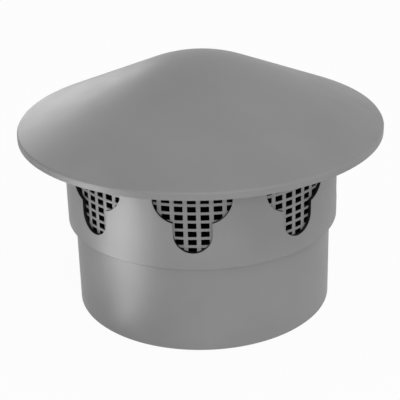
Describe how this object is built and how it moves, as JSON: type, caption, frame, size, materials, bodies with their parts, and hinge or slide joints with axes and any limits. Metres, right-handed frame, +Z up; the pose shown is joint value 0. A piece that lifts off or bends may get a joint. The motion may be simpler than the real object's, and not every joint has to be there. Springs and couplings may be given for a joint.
{
  "type": "vent cap",
  "caption": "Round grey plastic vent cap with a conical rain hat, a windowed collar over an insect screen, and a spigot that fits a pipe socket.",
  "frame": {"origin": "centre of the spigot's bottom rim", "axes": "+Z up along the cap's own axis, towards the hat; one window faces -Y"},
  "size_m": [0.1534, 0.1534, 0.1081],
  "materials": {
    "body_plastic": "satin moulded grey",
    "screen_plastic": "satin moulded grey",
    "hat_plastic": "satin moulded grey"
  },
  "bodies": {
    "root": {"vent_body": "body_plastic", "insect_screen": "screen_plastic", "rain_hat": "hat_plastic"}
  },
  "joints": []
}
